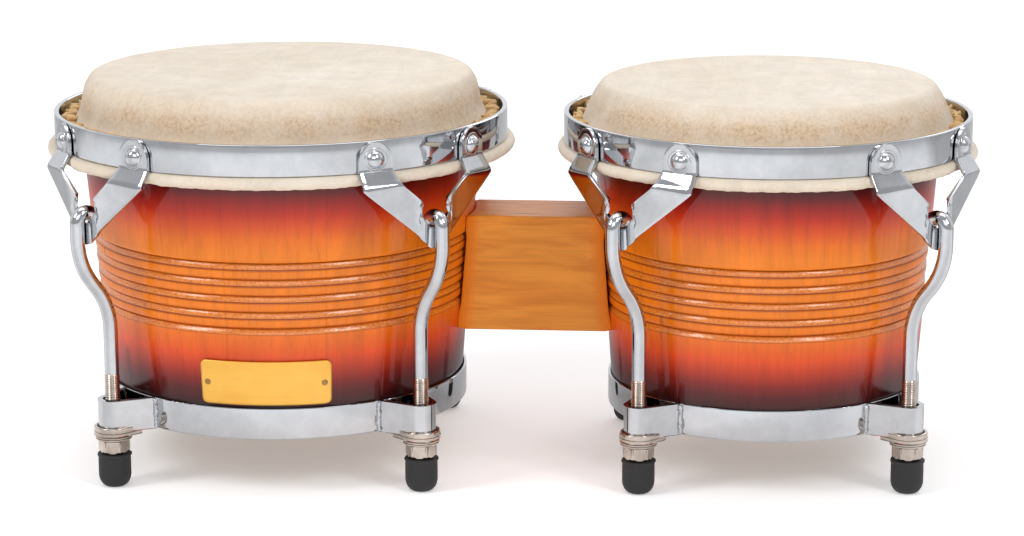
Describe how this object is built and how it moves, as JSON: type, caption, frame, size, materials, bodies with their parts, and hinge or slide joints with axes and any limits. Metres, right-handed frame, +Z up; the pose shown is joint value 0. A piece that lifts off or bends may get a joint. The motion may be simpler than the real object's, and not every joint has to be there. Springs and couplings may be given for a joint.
{
  "type": "bongo drums",
  "caption": "Pair of hand drums of unequal size, tapered lacquered wood shells with rawhide heads, chrome tension hardware and rubber feet, joined by a wood block.",
  "frame": {"origin": "under the middle of the bounding box, on the plane the feet stand on", "axes": "+X along the pair from the large drum to the small one, -Y the front with the badge, +Z up"},
  "size_m": [0.4922, 0.2458, 0.2085],
  "materials": {
    "sunburst_lacquer": "gloss lacquer, amber middle fading to dark maroon at both ends",
    "honey_wood": "clear gloss lacquer on straight-grained hardwood",
    "rawhide": "natural cream rawhide, matt",
    "chrome": "polished chrome plate",
    "nickel": "warm nickel plate, satin",
    "plain_steel": "zinc plated, dull",
    "black_rubber": "matt moulded",
    "brass": "blank satin gold plate"
  },
  "bodies": {
    "root": {"large_shell": "sunburst_lacquer", "large_drumhead": "rawhide", "large_bottom_ring": "chrome", "large_saddle_1": "nickel", "large_saddle_2": "nickel", "large_saddle_3": "nickel", "large_saddle_4": "nickel", "small_shell": "sunburst_lacquer", "small_drumhead": "rawhide", "small_bottom_ring": "chrome", "small_saddle_1": "nickel", "small_saddle_2": "nickel", "small_saddle_3": "nickel", "small_saddle_4": "nickel", "centre_block": "honey_wood", "backing_plate_large": "plain_steel", "backing_plate_small": "plain_steel", "block_bolt_upper": "plain_steel", "block_bolt_lower": "plain_steel", "block_nut_upper": "plain_steel", "block_nut_lower": "plain_steel", "badge": "brass"},
    "large_tension_set": {"large_skin_roll": "rawhide", "large_flesh_hoop": "plain_steel", "large_tension_hoop": "chrome", "large_bracket_1": "chrome", "large_rod_1": "chrome", "large_foot_1": "black_rubber", "large_bracket_2": "chrome", "large_rod_2": "chrome", "large_foot_2": "black_rubber", "large_bracket_3": "chrome", "large_rod_3": "chrome", "large_foot_3": "black_rubber", "large_bracket_4": "chrome", "large_rod_4": "chrome", "large_foot_4": "black_rubber"},
    "large_nut_1": {"large_nut_1": "nickel"},
    "large_nut_2": {"large_nut_2": "nickel"},
    "large_nut_3": {"large_nut_3": "nickel"},
    "large_nut_4": {"large_nut_4": "nickel"},
    "small_tension_set": {"small_skin_roll": "rawhide", "small_flesh_hoop": "plain_steel", "small_tension_hoop": "chrome", "small_bracket_1": "chrome", "small_rod_1": "chrome", "small_foot_1": "black_rubber", "small_bracket_2": "chrome", "small_rod_2": "chrome", "small_foot_2": "black_rubber", "small_bracket_3": "chrome", "small_rod_3": "chrome", "small_foot_3": "black_rubber", "small_bracket_4": "chrome", "small_rod_4": "chrome", "small_foot_4": "black_rubber"},
    "small_nut_1": {"small_nut_1": "nickel"},
    "small_nut_2": {"small_nut_2": "nickel"},
    "small_nut_3": {"small_nut_3": "nickel"},
    "small_nut_4": {"small_nut_4": "nickel"}
  },
  "joints": [
    {"name": "large_tuning", "type": "slide", "parent": "root", "child": "large_tension_set", "axis": [0, 0, 1], "range_m": [-0.004, 0]},
    {"name": "large_nut_1_turn", "type": "hinge", "parent": "root", "child": "large_nut_1", "pos_m": [-0.20224, -0.08242, 0.023], "axis": [0, 0, 1], "range_deg": [-10, 1165]},
    {"name": "large_nut_2_turn", "type": "hinge", "parent": "root", "child": "large_nut_2", "pos_m": [-0.04077, -0.07904, 0.023], "axis": [0, 0, 1], "range_deg": [-10, 1165]},
    {"name": "large_nut_3_turn", "type": "hinge", "parent": "root", "child": "large_nut_3", "pos_m": [-0.04416, 0.08242, 0.023], "axis": [0, 0, 1], "range_deg": [-10, 1165]},
    {"name": "large_nut_4_turn", "type": "hinge", "parent": "root", "child": "large_nut_4", "pos_m": [-0.20563, 0.07904, 0.023], "axis": [0, 0, 1], "range_deg": [-10, 1165]},
    {"name": "small_tuning", "type": "slide", "parent": "root", "child": "small_tension_set", "axis": [0, 0, 1], "range_m": [-0.004, 0]},
    {"name": "small_nut_1_turn", "type": "hinge", "parent": "root", "child": "small_nut_1", "pos_m": [0.07223, -0.07513, 0.023], "axis": [0, 0, 1], "range_deg": [-10, 1165]},
    {"name": "small_nut_2_turn", "type": "hinge", "parent": "root", "child": "small_nut_2", "pos_m": [0.21153, -0.06417, 0.023], "axis": [0, 0, 1], "range_deg": [-10, 1165]},
    {"name": "small_nut_3_turn", "type": "hinge", "parent": "root", "child": "small_nut_3", "pos_m": [0.20057, 0.07513, 0.023], "axis": [0, 0, 1], "range_deg": [-10, 1165]},
    {"name": "small_nut_4_turn", "type": "hinge", "parent": "root", "child": "small_nut_4", "pos_m": [0.06127, 0.06417, 0.023], "axis": [0, 0, 1], "range_deg": [-10, 1165]}
  ],
  "couplings": [
    {"joint": "large_nut_1_turn", "follows": "large_tuning", "rad_per_m": -5026.5},
    {"joint": "large_nut_2_turn", "follows": "large_tuning", "rad_per_m": -5026.5},
    {"joint": "large_nut_3_turn", "follows": "large_tuning", "rad_per_m": -5026.5},
    {"joint": "large_nut_4_turn", "follows": "large_tuning", "rad_per_m": -5026.5},
    {"joint": "small_nut_1_turn", "follows": "small_tuning", "rad_per_m": -5026.5},
    {"joint": "small_nut_2_turn", "follows": "small_tuning", "rad_per_m": -5026.5},
    {"joint": "small_nut_3_turn", "follows": "small_tuning", "rad_per_m": -5026.5},
    {"joint": "small_nut_4_turn", "follows": "small_tuning", "rad_per_m": -5026.5}
  ]
}
